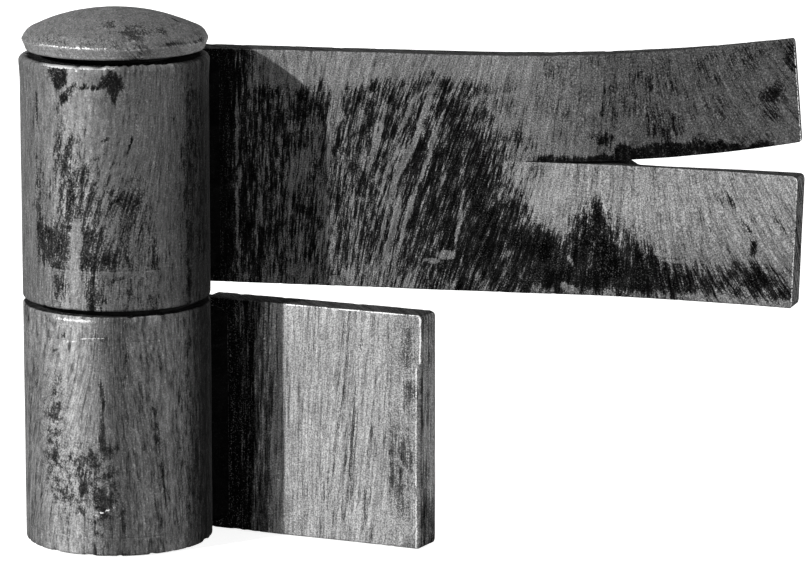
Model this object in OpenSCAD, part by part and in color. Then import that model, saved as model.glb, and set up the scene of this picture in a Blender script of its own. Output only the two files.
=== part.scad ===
// Weld-on gate hinge: two stacked barrels on one mushroom-headed pin.
// The upper barrel carries a long flat-bar leaf whose end is slit and spread, to be walled in.
// The lower barrel carries a short flat-bar leaf, to be welded to a gate.
// Z runs up the hinge axis from the foot of the lower barrel, and the anchor leaf runs along X.

/* [Flat bar] */
// Width of the flat bar that both leaves are cut from, upright on the hinge
bar_w = 50.8; // [40:0.1:80]
// Thickness of the flat bar
bar_t = 6.35; // [4:0.05:9]
// Bevel along the rolled edges of the flat bar
bar_bevel = 0.5; // [0.2:0.1:1]
// Bevel along the edges that the slit leaves
slit_bevel = 0.2; // [0.1:0.05:0.4]

/* [Barrels] */
// Outside diameter of both barrels
barrel_d = 40; // [39:0.5:60]
// Height by which a barrel is taller than the flat bar
barrel_over = 0.7; // [0.3:0.1:4]
// Gap between the two barrels
barrel_gap = 1.2; // [0.8:0.1:2.4]
// Bevel on the outer edges of the barrels
barrel_bevel = 0.7; // [0.3:0.1:1.2]
// Running clearance of the upper barrel on the pin, on the radius
pin_clear = 0.05; // [0.02:0.01:0.1]
// Drive-fit clearance of the pin in the lower barrel, on the radius
drive_clear = 0.01; // [0.01:0.01:0.03]

/* [Gate leaf] */
// Reach of the gate leaf from the hinge axis
gate_reach = 65; // [45:1:110]
// Radius of the gate leaf's free corners
gate_corner_r = 1.2; // [0.6:0.1:6]
// Lean of the gate leaf's sheared end, its back edge the longer one, in degrees
gate_skew_angle = 5.5; // [0.5:0.5:12]
// Angle from the anchor leaf round to the gate leaf as it stands
gate_angle = 13; // [0:1:90]

/* [Split tail] */
// Distance from the hinge axis to the root of the slit
slit_root = 86; // [60:1:140]
// Height of the slit above the lower edge of the flat bar
slit_height = 28.4; // [14:0.1:34]
// Width of the slit at its root
slit_w = 0.2; // [0.1:0.1:2]
// Length of the upper tine along its bend
upper_len = 57.4; // [30:0.1:110]
// Length of the lower tine, its straight stretch included
lower_len = 58.4; // [30:0.1:110]
// Straight stretch of the lower tine before its bend
lower_straight = 6.5; // [2:0.5:20]
// Upward bend of the upper tine, in degrees
upper_rise_angle = 9.6; // [2:0.2:25]
// Backward bend of the upper tine, in degrees
upper_back_angle = 5.3; // [1:0.1:30]
// Lean of the upper tine's end out of square, in degrees
upper_skew_angle = 4.6; // [1:0.2:12]
// Downward bend of the lower tine, in degrees
lower_drop_angle = 1.1; // [0.2:0.1:2]
// Forward bend of the lower tine, in degrees
lower_forward_angle = 8.6; // [2:0.2:40]
// Lean of the lower tine's end out of square, in degrees
lower_skew_angle = 1; // [0.5:0.5:12]
// Cut across the free corners of the upper tine
upper_corner = 0.5; // [0.3:0.1:4]
// Cut across the free corners of the lower tine
lower_corner = 1.2; // [0.3:0.1:4]
// Amount by which spreading draws a tine thinner, on each face
tine_draw = 0.03; // [0.02:0.01:0.15]

/* [Pin] */
// Diameter of the pin's shank
pin_d = 20; // [14:0.5:21]
// Bevel round the foot of the pin and round the mouth of its hole
pin_bevel = 1; // [0.4:0.1:2]
// Largest diameter of the mushroom head
head_d = 39.1; // [34:0.1:44]
// Diameter of the head's underside
head_foot_d = 37.8; // [32:0.1:39]
// Height of the head's rim
head_rim = 2.5; // [1.5:0.1:5]
// Height of the dome above the rim
dome_h = 6.1; // [3.4:0.1:14]
// Radius of the round shoulder between the dome and the rim
shoulder_r = 3.6; // [1.5:0.1:3.8]
// Width of the worn land between the rim and the shoulder
head_land = 0.15; // [0.1:0.05:1]
// Gap between the upper barrel and the head
head_gap = 1.4; // [1:0.1:3]
// Outside diameter of the washer under the head
washer_d = 26; // [24:0.5:34]
// Room left between the washer and the head
washer_play = 0.1; // [0.05:0.05:0.3]

/* [Thrust bearing] */
// Outside diameter of the bearing
bearing_d = 35; // [33:0.5:36]
// Height of the bearing
bearing_h = 10; // [9.5:0.1:12]
// Thickness of each race
race_t = 3.2; // [2.4:0.1:3.4]
// Diameter of the balls
ball_d = 5.5; // [5:0.1:5.6]
// Number of balls
ball_count = 12; // [8:1:12]
// Clearance of the balls in the race grooves, on the radius
groove_clear = 0.04; // [0.02:0.01:0.08]
// Clearance of the balls in the cage, on the radius
pocket_clear = 0.12; // [0.08:0.02:0.2]
// Thickness of the ball cage
cage_t = 2; // [1.2:0.1:2.4]
// Clearance of the races in their seats, on the radius
seat_clear = 0.1; // [0.05:0.05:0.2]
// Clearance between the moving bearing pieces and what they turn past
turn_clear = 0.5; // [0.35:0.05:0.6]

/* [Welds] */
// Height left bare at each end of a weld
weld_stop = 1.6; // [0.5:0.1:6]
// Reach of the front weld along the leaf
front_leg = 5; // [2:0.5:8]
// Depth at which the back weld lies below the leaf's back face
back_sink = 0.5; // [0.2:0.1:1.5]
// Crown of the back weld
back_crown = 0.4; // [0.1:0.05:0.45]

/* [Hidden] */
$fn = 96;

barrel_r = barrel_d / 2;
barrel_h = bar_w + barrel_over;
upper_z = barrel_h + barrel_gap;
top_z = upper_z + barrel_h;
pin_r = pin_d / 2;
head_z = top_z + head_gap;
head_r = head_d / 2;

// The leaves lie with their back faces level with the backs of the barrels
leaf_front = barrel_r - bar_t;
// Where the front face of a leaf meets the barrel
leaf_start = sqrt(barrel_r * barrel_r - leaf_front * leaf_front);
anchor_z = top_z - bar_w;

// The bearing sits half in each barrel, across the gap
bearing_r = bearing_d / 2;
seat_depth = (bearing_h - barrel_gap) / 2;
ball_z = barrel_h + barrel_gap / 2;
ball_ring_r = (pin_r + bearing_r) / 2;

// The shoulder rises from the land, a little short of upright, and the dome runs over it to the top.
// The two arcs cross at a very small angle.
shoulder_drop = 0.3 * shoulder_r;
shoulder_ring_r = head_r - head_land - sqrt(shoulder_r * shoulder_r - shoulder_drop * shoulder_drop);
shoulder_proud = 0.02;
dome_rise = dome_h + shoulder_drop;
dome_inset = shoulder_r - shoulder_proud;
dome_r = (shoulder_ring_r * shoulder_ring_r + dome_rise * dome_rise - dome_inset * dome_inset)
    / (2 * (dome_rise - dome_inset));
dome_lap = head_land / 4;

bore_over = 1;
// Length by which a tine runs back into the flat stretch that it grows from
tine_lap = 1;
steel = [0.46, 0.46, 0.47];
dark_steel = [0.36, 0.36, 0.37];
weld_grey = [0.3, 0.3, 0.31];
bright_steel = [0.7, 0.71, 0.73];

// Section of the flat bar between two heights, with its own bevel at each edge, drawn in on all faces
module bar_section(low_edge, high_edge, low_bevel, high_bevel, draw = 0) {
    front = draw;
    back = bar_t - draw;
    low = low_edge + draw;
    high = high_edge - draw;
    polygon([
        [front + low_bevel, low], [back - low_bevel, low],
        [back, low + low_bevel], [back, high - high_bevel],
        [back - high_bevel, high], [front + high_bevel, high],
        [front, high - high_bevel], [front, low + low_bevel]
    ]);
}

// A straight run of a section along X
module run_x(length) {
    rotate([90, 0, 90]) linear_extrude(length) children();
}

// Outline of a leaf seen from the front, with round corners at its free end
module leaf_outline(start, reach, width, r) {
    translate([start, 0]) square([reach - start - r, width]);
    translate([reach - r, r]) square([r, width - 2 * r]);
    for (z = [r, width - r]) translate([reach - r, z]) circle(r);
}

// A barrel from its foot to its top, with outer bevels, a hole and a bearing seat at one end
module barrel_blank(hole_r, seat_z) {
    difference() {
        rotate_extrude() polygon([
            [0, 0], [barrel_r - barrel_bevel, 0], [barrel_r, barrel_bevel],
            [barrel_r, barrel_h - barrel_bevel], [barrel_r - barrel_bevel, barrel_h], [0, barrel_h]
        ]);
        translate([0, 0, -bore_over]) cylinder(r = hole_r, h = barrel_h + 2 * bore_over);
        translate([0, 0, seat_z]) cylinder(r = bearing_r + seat_clear, h = seat_depth + bore_over);
    }
}

module upper_barrel() {
    color(steel) translate([0, 0, upper_z]) barrel_blank(pin_r + pin_clear, -bore_over);
}

module lower_barrel() {
    color(steel) difference() {
        barrel_blank(pin_r + drive_clear, barrel_h - seat_depth);
        cylinder(r1 = pin_r + pin_bevel, r2 = pin_r, h = pin_bevel);
    }
}

// Bends what it is given, a section standing at x = 0, along an arc that leans between
// the back (angle back) and up (angle rise): the arc's plane is turned by lean about X.
// The arc starts one lap before x = 0, inside the flat stretch, and runs over its length by some spare.
module bent_run(length, spare, back, rise, mid_z) {
    bend = sqrt(back * back + rise * rise);
    lean = atan2(-rise, back);
    bend_r = length / (bend * PI / 180);
    lap = bend * tine_lap / length;
    sweep = bend * (length + tine_lap + spare) / length;
    translate([0, bar_t / 2, mid_z]) rotate([-lean, 0, 0]) translate([0, bend_r, 0]) rotate([0, 0, -90 - lap])
        rotate_extrude(angle = sweep, $fn = 360)
            translate([bend_r, 0]) mirror([1, 0]) rotate(lean) translate([-bar_t / 2, -mid_z]) children();
}

// Carries what it is given to the free end of such an arc
module at_bend_end(length, back, rise, mid_z) {
    bend = sqrt(back * back + rise * rise);
    lean = atan2(-rise, back);
    bend_r = length / (bend * PI / 180);
    translate([0, bar_t / 2, mid_z]) rotate([-lean, 0, 0]) translate([0, bend_r, 0]) rotate([0, 0, bend])
        translate([0, -bend_r, 0]) rotate([lean, 0, 0]) translate([0, -bar_t / 2, -mid_z]) children();
}

// Blocks that cut a tine off at its free end, leaning by skew, and then take off its two corners
module end_cuts(low, high, skew, corner) {
    tall = high - low;
    side = 4 * corner;
    depth = corner / sqrt(2);
    reach = tall / 2 * tan(skew);
    translate([0, -bar_t / 2, (low + high) / 2]) rotate([0, skew, 0])
        translate([0, 0, -tall]) cube([tall, 2 * bar_t, 2 * tall]);
    translate([reach, -bar_t / 2, high]) rotate([0, 45, 0])
        translate([-side / 2, 0, -depth]) cube([side, 2 * bar_t, side]);
    translate([-reach, -bar_t / 2, low]) rotate([0, 45, 0])
        translate([-depth, 0, -side / 2]) cube([side, 2 * bar_t, side]);
}

// A tine of the split tail: a bent stretch of part of the bar, cut off at its free end
module tine(length, back, rise, low, high, low_bevel, high_bevel, skew, corner) {
    mid_z = (low + high) / 2;
    spare = (high - low) * tan(skew);
    difference() {
        bent_run(length, spare, back, rise, mid_z) bar_section(low, high, low_bevel, high_bevel, tine_draw);
        at_bend_end(length, back, rise, mid_z) end_cuts(low, high, skew, corner);
    }
}

module anchor_leaf() {
    slit_low = slit_height - slit_w / 2;
    slit_high = slit_height + slit_w / 2;
    bend_root = slit_root + lower_straight;
    color(dark_steel) translate([0, leaf_front, anchor_z]) {
        difference() {
            translate([leaf_start, 0, 0]) run_x(bend_root - leaf_start)
                bar_section(0, bar_w, bar_bevel, bar_bevel);
            translate([slit_root, -bar_t / 2, slit_low]) cube([2 * lower_straight, 2 * bar_t, bar_w]);
        }
        translate([slit_root, 0, 0])
            tine(
                upper_len, upper_back_angle, upper_rise_angle, slit_high, bar_w, slit_bevel, bar_bevel,
                upper_skew_angle, upper_corner
            );
        translate([bend_root, 0, 0])
            tine(
                lower_len - lower_straight, -lower_forward_angle, -lower_drop_angle, 0, slit_low,
                bar_bevel, slit_bevel, lower_skew_angle, lower_corner
            );
    }
}

module gate_leaf() {
    spare = 2 * bar_t * tan(gate_skew_angle);
    color(dark_steel) rotate([0, 0, -gate_angle]) translate([0, leaf_front, 0]) intersection() {
        translate([leaf_start, 0, 0]) run_x(gate_reach + spare - leaf_start)
            bar_section(0, bar_w, bar_bevel, bar_bevel);
        translate([gate_reach, 0, 0]) rotate([0, 0, -gate_skew_angle]) translate([-gate_reach, 2 * gate_reach, 0])
            rotate([90, 0, 0]) linear_extrude(4 * gate_reach)
                leaf_outline(0, gate_reach, bar_w, gate_corner_r);
    }
}

// Fillet weld in the corner between the barrel and the front face of a leaf
module weld_front() {
    toe_turn = atan2(leaf_front, leaf_start) - front_leg / barrel_r * 180 / PI;
    barrel_toe = barrel_r * [cos(toe_turn), sin(toe_turn)];
    leaf_toe = [leaf_start + front_leg, leaf_front];
    inside_toe = barrel_toe + (barrel_toe - leaf_toe) / 2;
    translate([0, 0, weld_stop]) linear_extrude(bar_w - 2 * weld_stop) difference() {
        polygon([[leaf_start - front_leg / 2, leaf_front], inside_toe, leaf_toe]);
        circle(barrel_r);
    }
}

// Groove weld that fills the wedge between the barrel and the square-cut end of a leaf
module weld_back() {
    face_y = barrel_r - back_sink;
    toe_x = sqrt(barrel_r * barrel_r - face_y * face_y);
    half_w = (leaf_start - toe_x) / 2;
    crown_r = (half_w * half_w + back_crown * back_crown) / (2 * back_crown);
    translate([0, 0, weld_stop]) linear_extrude(bar_w - 2 * weld_stop) difference() {
        intersection() {
            square([leaf_start, barrel_r]);
            translate([toe_x + half_w, face_y + back_crown - crown_r]) circle(crown_r, $fn = 360);
        }
        circle(barrel_r);
    }
}

module anchor_weld_front() {
    color(weld_grey) translate([0, 0, anchor_z]) weld_front();
}

module anchor_weld_back() {
    color(weld_grey) translate([0, 0, anchor_z]) weld_back();
}

module gate_weld_front() {
    color(weld_grey) rotate([0, 0, -gate_angle]) weld_front();
}

module gate_weld_back() {
    color(weld_grey) rotate([0, 0, -gate_angle]) weld_back();
}

module hinge_pin() {
    color(steel) rotate_extrude() {
        polygon([
            [0, 0], [pin_r - pin_bevel, 0], [pin_r, pin_bevel], [pin_r, head_z], [head_foot_d / 2, head_z],
            [head_r, head_z + head_rim], [0, head_z + head_rim]
        ]);
        translate([0, head_z + head_rim]) intersection() {
            translate([0, dome_h - dome_r]) circle(dome_r, $fn = 360);
            translate([0, -dome_lap]) square([head_r, 2 * dome_h]);
            union() {
                translate([0, -dome_lap]) square([shoulder_ring_r, 2 * dome_h]);
                translate([shoulder_ring_r, -shoulder_drop]) circle(shoulder_r);
            }
        }
    }
}

module head_washer() {
    color(bright_steel) translate([0, 0, top_z]) difference() {
        cylinder(d = washer_d, h = head_gap - washer_play);
        translate([0, 0, -bore_over]) cylinder(r = pin_r + turn_clear, h = head_gap + 2 * bore_over);
    }
}

// A race with its groove, from its seat at base_z to its open face, by a section on the radius
module race(hole_r, base_z) {
    color(bright_steel) rotate_extrude() difference() {
        translate([hole_r, base_z]) square([bearing_r - hole_r, race_t]);
        translate([ball_ring_r, ball_z]) circle(ball_d / 2 + groove_clear);
    }
}

module upper_race() {
    race(pin_r + turn_clear, ball_z + bearing_h / 2 - race_t);
}

module lower_race() {
    race(pin_r + seat_clear, ball_z - bearing_h / 2);
}

// Leaves the children at each place round the ball ring
module ball_ring() {
    for (i = [0:ball_count - 1])
        rotate([0, 0, i * 360 / ball_count]) translate([ball_ring_r, 0, ball_z]) children();
}

module ball_cage() {
    color(bright_steel) difference() {
        translate([0, 0, ball_z - cage_t / 2]) difference() {
            cylinder(r = bearing_r - turn_clear + seat_clear, h = cage_t);
            translate([0, 0, -bore_over]) cylinder(r = pin_r + turn_clear, h = cage_t + 2 * bore_over);
        }
        ball_ring() cylinder(d = ball_d + 2 * pocket_clear, h = cage_t + 2 * bore_over, center = true);
    }
}

module bearing_balls() {
    color(bright_steel) ball_ring() sphere(d = ball_d);
}

upper_barrel();
anchor_leaf();
anchor_weld_front();
anchor_weld_back();
upper_race();
head_washer();
lower_barrel();
gate_leaf();
gate_weld_front();
gate_weld_back();
hinge_pin();
lower_race();
ball_cage();
bearing_balls();
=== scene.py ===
import math

import bmesh
import bpy
import numpy as np
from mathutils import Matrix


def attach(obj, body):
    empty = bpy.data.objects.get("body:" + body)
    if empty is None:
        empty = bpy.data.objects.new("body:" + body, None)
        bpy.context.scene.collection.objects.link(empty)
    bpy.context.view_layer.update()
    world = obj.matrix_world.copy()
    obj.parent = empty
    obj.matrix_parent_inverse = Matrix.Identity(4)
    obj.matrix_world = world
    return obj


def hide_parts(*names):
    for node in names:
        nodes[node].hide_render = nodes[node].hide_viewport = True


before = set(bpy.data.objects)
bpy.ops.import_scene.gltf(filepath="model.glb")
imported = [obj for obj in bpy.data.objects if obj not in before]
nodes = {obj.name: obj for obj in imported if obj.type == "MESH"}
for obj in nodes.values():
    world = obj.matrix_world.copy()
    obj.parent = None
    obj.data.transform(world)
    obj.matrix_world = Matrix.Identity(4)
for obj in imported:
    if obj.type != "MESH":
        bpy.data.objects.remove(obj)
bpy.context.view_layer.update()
print("frame:", len(nodes), "CAD nodes")

# sizes of the CAD part in mm, Z up from the foot of the lower barrel
barrelR, barrelH = 20.0, 51.5
upperZ, topZ, headZ = 52.7, 104.2, 105.6  # foot and top of the upper barrel, underside of the head
seatR, seatDeep = 17.6, 4.4  # bearing seat in each barrel
barW, barT = 50.8, 6.35
leafFront = 13.65  # from the axis back to the front face of the leaves
anchorZ, slitZ = 53.4, 28.4  # lower edge of the anchor leaf, and the slit's height above that edge
gateTurn = math.radians(-13)  # the gate leaf stands in front of the anchor leaf
leafStart = math.sqrt(barrelR ** 2 - leafFront ** 2)  # where the leaves' front face meets the barrels
perDegree = barrelR * math.radians(1)  # mm round a barrel in one degree
roundSteps = 264  # steps round a turned piece


# value noise from 0 to 1: random heights on a lattice, blended smoothly between its corners
def lumps(points, size, seed, octaves=3, cells=48):
    table = np.random.default_rng(seed).random((cells, cells, cells))
    total, share = 0, 0
    for octave in range(octaves):
        q = points / size * 2 ** octave + 9.7 * octave
        low = np.floor(q).astype(int)
        f = (q - low) ** 2 * (3 - 2 * (q - low))
        value = 0
        for corner in np.ndindex(2, 2, 2):
            i = (low + corner) % cells
            weight = np.prod(np.where(corner, f, 1 - f), axis=-1)
            value = value + weight * table[i[..., 0], i[..., 1], i[..., 2]]
        total = total + value / 2 ** octave
        share += 1 / 2 ** octave
    return total / share


# two noises about 0, coarse with a share of fine, that make the borders in the paint ragged
def raggedness(points, coarse, fine, fineShare, seed):
    pair = [lumps(points, coarse, s) + fineShare * lumps(points, fine, s + 1) for s in (seed, seed + 2)]
    return np.stack(pair) - (1 + fineShare) / 2


# 0 below the start, 1 past the end, smooth between
def ramp(value, start, end):
    t = np.clip((value - start) / (end - start), 0, 1)
    return t * t * (3 - 2 * t)


# 1 at the middle, falling away on both sides
def bell(value, middle, width):
    return np.exp(-((value - middle) / width) ** 2)


# sum of soft ellipses: middle across and up, half width and height, amount, lean of the top to the right
def blots(u, v, places):
    total = np.zeros_like(u)
    for across, up, halfWide, halfHigh, amount, lean in places:
        c, s = math.cos(math.radians(lean)), math.sin(math.radians(lean))
        a = ((u - across) * c - (v - up) * s) / halfWide
        b = ((u - across) * s + (v - up) * c) / halfHigh
        total = total + amount * np.exp(-(a * a + b * b) ** 2)
    return total


# Welds grids of points into one closed mesh. A sheet is its points, its brush coordinates and its place
# on the flat, unbent piece. dent moves points along their normals, and paint gives the values that the
# material reads.
def surface(name, sheets, dent, paint):
    faces, start = [], 0
    for sheet in sheets:
        n, m = sheet[0].shape[:2]
        i = np.arange(n * m).reshape(n, m) + start
        faces.append(np.stack([i[:-1, :-1], i[1:, :-1], i[1:, 1:], i[:-1, 1:]], -1).reshape(-1, 4))
        start += n * m
    points, brush, flat = (np.concatenate([grid.reshape(-1, grid.shape[-1]) for grid in grids])
                           for grids in zip(*sheets))
    mesh = bpy.data.meshes.new(name)
    mesh.from_pydata((points / 1000).tolist(), [], np.concatenate(faces).tolist())
    corner = np.empty(len(mesh.loops), np.int32)
    mesh.loops.foreach_get("vertex_index", corner)
    mesh.uv_layers.new(name="brush").data.foreach_set("uv", brush[corner].astype(np.float32).ravel())
    unbent = mesh.attributes.new("flat", "FLOAT_VECTOR", "POINT")
    unbent.data.foreach_set("vector", flat.astype(np.float32).ravel())
    work = bmesh.new()
    work.from_mesh(mesh)
    bmesh.ops.remove_doubles(work, verts=work.verts, dist=2e-6)
    bmesh.ops.recalc_face_normals(work, faces=work.faces)
    openEdges = sum(not e.is_manifold for e in work.edges)
    work.to_mesh(mesh)
    work.free()
    count = len(mesh.vertices)
    xyz, normal, flat = np.empty((3, count * 3), np.float32)
    mesh.vertices.foreach_get("co", xyz)
    mesh.vertices.foreach_get("normal", normal)
    mesh.attributes["flat"].data.foreach_get("vector", flat)
    xyz = (xyz.reshape(-1, 3) * 1000.0).astype(float)
    normal, flat = normal.reshape(-1, 3), flat.reshape(-1, 3).astype(float)
    moved = xyz + normal * dent(xyz, flat, normal)[:, None]
    mesh.vertices.foreach_set("co", (moved / 1000).astype(np.float32).ravel())
    for key, value in paint(xyz, flat, normal).items():
        mesh.attributes.new(key, "FLOAT", "POINT").data.foreach_set("value", value.astype(np.float32))
    mesh.attributes.remove(mesh.attributes["flat"])
    mesh.polygons.foreach_set("use_smooth", np.ones(len(mesh.polygons), bool))
    mesh.set_sharp_from_angle(angle=math.radians(38))
    mesh.update()
    piece = bpy.data.objects.new(name, mesh)
    bpy.context.scene.collection.objects.link(piece)
    print(name, count, "points,", openEdges, "open edges")
    return piece


# gives a piece its body, hides the CAD node that it stands for, and gives it its paint
def dress(piece, spec):
    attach(piece, spec["body"])
    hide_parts(spec["node"])
    piece.data.materials.append(spec["material"])


# Makes shader nodes: sockets are given by name or as i0, i1, and a socket as the value is linked
def maker(tree):
    def make(kind, out=0, settings=(), **inputs):
        node = tree.nodes.new("ShaderNode" + kind)
        for key, value in dict(settings).items():
            setattr(node, key, value)
        for key, value in inputs.items():
            socket = node.inputs[int(key[1:])] if key[1:].isdigit() else node.inputs[key.replace("_", " ")]
            if isinstance(value, bpy.types.NodeSocket):
                tree.links.new(value, socket)
            else:
                socket.default_value = value
        return node.outputs[out] if node.outputs else node
    return make


# a material with no nodes yet, and the maker for its tree
def emptyMaterial(name):
    material = bpy.data.materials.new(name)
    material.use_nodes = True
    material.node_tree.nodes.clear()
    return material, maker(material.node_tree)


# arithmetic on shader values: a times b, a plus b, the greater of the two, a times b plus c
def times(make, a, b):
    return make("Math", settings={"operation": "MULTIPLY"}, i0=a, i1=b)


def plus(make, a, b):
    return make("Math", settings={"operation": "ADD"}, i0=a, i1=b)


def most(make, a, b):
    return make("Math", settings={"operation": "MAXIMUM"}, i0=a, i1=b)


def timesPlus(make, a, b, c):
    return make("Math", settings={"operation": "MULTIPLY_ADD"}, i0=a, i1=b, i2=c)


# sum of values, each times its share
def weighted(make, *parts):
    total = 0.0
    for value, share in parts:
        total = timesPlus(make, value, share, total)
    return total


# a where the share is 0, b where it is 1
def mixed(make, share, a, b):
    return make("Mix", settings={"data_type": "FLOAT"}, i0=share, i2=a, i3=b)


# carries values from low to high over to toLow to toHigh, and stops at both ends
def remap(make, value, low, high, toLow, toHigh, kind="SMOOTHSTEP"):
    settings = {"interpolation_type": kind}
    return make("MapRange", settings=settings, i0=value, i1=low, i2=high, i3=toLow, i4=toHigh)


# the same value in all three colours
def grey(make, value):
    return make("CombineColor", i0=value, i1=value, i2=value)


# the place on the piece in mm
def inMillimetres(make):
    return make("VectorMath", settings={"operation": "SCALE"}, i0=make("TexCoord", out=3), Scale=1000.0)


# noise read from stretched coordinates: across and along are the sizes of one lump in mm
def stretched(make, coords, across, along, detail, seed, rough=0.6, bend=0.0):
    shift, scale = (seed * 3.1, seed * 1.7, seed), (1 / across, 1 / along, 1 / across)
    scaled = make("Mapping", i0=coords, i1=shift, i3=scale)
    return make("TexNoise", Vector=scaled, Scale=1.0, Detail=detail, Roughness=rough, Distortion=bend)


# Silver paint dry-brushed over black. cover says how much silver the brush left, tone
# how light it is, with painted light and shade in it, and wear where it is rubbed down to
# bare metal or where a highlight is painted as bare metal. blotch turns streaks into lumps.
def dryBrushed(look):
    material, make = emptyMaterial(look["name"])
    brush = make("UVMap", settings={"uv_map": "brush"})
    inMm = inMillimetres(make)
    cover, tone, wear, blotch = (make("Attribute", out=2, settings={"attribute_name": key})
                                 for key in ("cover", "tone", "wear", "blotch"))
    wideLong, fineLong, hairLong = look["long"]
    wide = stretched(make, brush, look["wide"], look["wide"] * wideLong, 3, 1.0, 0.6, 0.4)
    fine = stretched(make, brush, look["fine"], look["fine"] * fineLong, 3, 2.0, 0.62, 0.25)
    hair = stretched(make, brush, look["hair"], look["hair"] * hairLong, 2, 3.0, 0.6, 0.15)
    cloud = stretched(make, inMm, look["cloud"], look["cloud"], 5, 4.0, 0.68)
    grain = stretched(make, inMm, look["grain"], look["grain"], 2, 5.0, 0.7)

    # where the silver lies: the cover, shifted up and down by each noise
    streaky = timesPlus(make, blotch, -0.7, 1.0)
    cloudy = timesPlus(make, blotch, 0.9, 1.0)
    shares = (streaky, streaky, streaky, cloudy, 1.0)
    level = cover
    for noise, amount, share in zip((wide, fine, hair, cloud, grain), look["mix"], shares):
        level = timesPlus(make, timesPlus(make, noise, amount, -amount / 2), share, level)
    silver = remap(make, level, 0.5 - look["soft"], 0.5 + look["soft"], 0.0, 1.0)
    veil = remap(make, level, 0.05, 0.5, 0.0, look["veil"])  # thin silver left in the black
    dots = remap(make, weighted(make, (grain, 1.0), (fine, 0.4)), 0.75, 0.92, 0.0, look["dots"])
    shown = most(make, most(make, silver, veil), dots)

    # how light the silver and the black are
    streak = weighted(make, (hair, 0.35), (fine, 0.35), (wide, 0.3))
    lumpy = weighted(make, (cloud, 0.7), (grain, 0.3))
    streak = mixed(make, times(make, blotch, 0.8), streak, lumpy)
    light = times(make, remap(make, streak, 0.4, 0.6, *look["silver"], "LINEAR"), tone)
    light = times(make, light, remap(make, grain, 0.34, 0.66, 1 - look["speckle"], 1 + look["speckle"]))
    dark = remap(make, weighted(make, (cloud, 1.0), (grain, 0.6)), 0.5, 1.1, *look["black"])

    # bare metal: specks in the silver, and chips where it is worn or where a highlight is painted
    fleck = remap(make, weighted(make, (grain, 1.0), (fine, 0.35)), 0.8, 0.88, 0.0, 1.0)
    fleck = times(make, times(make, fleck, silver), times(make, tone, look["fleck"]))
    chips = weighted(make, (grain, 0.7), (fine, 0.3))
    bare = most(make, remap(make, plus(make, wear, chips), 0.9, 1.1, 0.0, 1.0), fleck)

    value = mixed(make, bare, mixed(make, shown, dark, light), look["bare"])
    shine = most(make, times(make, silver, look["metal"]), times(make, bare, 0.9))
    rough = mixed(make, silver, look["roughBlack"], look["roughSilver"])
    rough = plus(make, rough, remap(make, cloud, 0.3, 0.7, -0.06, 0.06))
    height = weighted(make, (silver, 0.45), (streak, 0.9), (grain, 0.7))
    bump = make("Bump", Strength=look["bump"], Distance=0.00006, Height=height)
    colour = grey(make, value)
    shader = make("BsdfPrincipled", Base_Color=colour, Metallic=shine, Roughness=rough, Normal=bump)
    shader.node.inputs["Specular IOR Level"].default_value = look["specular"]
    make("OutputMaterial", Surface=shader)
    return material


# sizes in mm across a stroke, their lengths as multiples, and how much each noise shifts the cover
brushedLook = dict(
    wide=2.0, fine=0.75, hair=0.36, cloud=4.5, grain=0.3, long=(6, 12, 7), mix=(0.6, 0.9, 0.9, 0.7, 0.7),
    soft=0.15, veil=0.14, dots=0.35, silver=(0.09, 0.2), black=(0.0008, 0.006), speckle=0.7, fleck=0.5,
    bare=0.6, metal=0.03, roughBlack=0.6, roughSilver=0.55, bump=0.6, specular=0.0)
turnedLook = dict(
    brushedLook, wide=1.8, fine=0.8, hair=0.42, grain=0.34, mix=(1.0, 0.8, 0.8, 0.7, 0.4), long=(12, 8, 5),
    soft=0.17, veil=0.2, silver=(0.09, 0.29), black=(0.004, 0.02), speckle=0.24, fleck=0.4)


# a profile turned about Z, the length run along it, and the place as turn in degrees, radius and height
def turned(profile):
    angle = np.linspace(-math.pi, math.pi, roundSteps + 1)[:, None]
    r, z = profile[:, 0][None] + 0 * angle, profile[:, 1][None] + 0 * angle
    run = np.concatenate([[0], np.cumsum(np.hypot(*np.diff(profile, axis=0).T))])[None] + 0 * angle
    xyz = np.stack([r * np.cos(angle), r * np.sin(angle), z], -1)
    return xyz, run, np.stack([np.degrees(angle) + 0 * r, r, z], -1)


# points on a circle from one angle to another, in degrees
def arc(middle, radius, fromDeg, toDeg, count):
    a = np.radians(np.linspace(fromDeg, toDeg, count))
    return np.stack([middle[0] + radius * np.cos(a), middle[1] + radius * np.sin(a)], -1)


# straight runs from corner to corner, each cut into count steps, without the first corner itself
def pathThrough(corners, count):
    return np.concatenate([np.linspace(a, b, count + 1)[1:] for a, b in zip(corners[:-1], corners[1:])])


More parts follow.
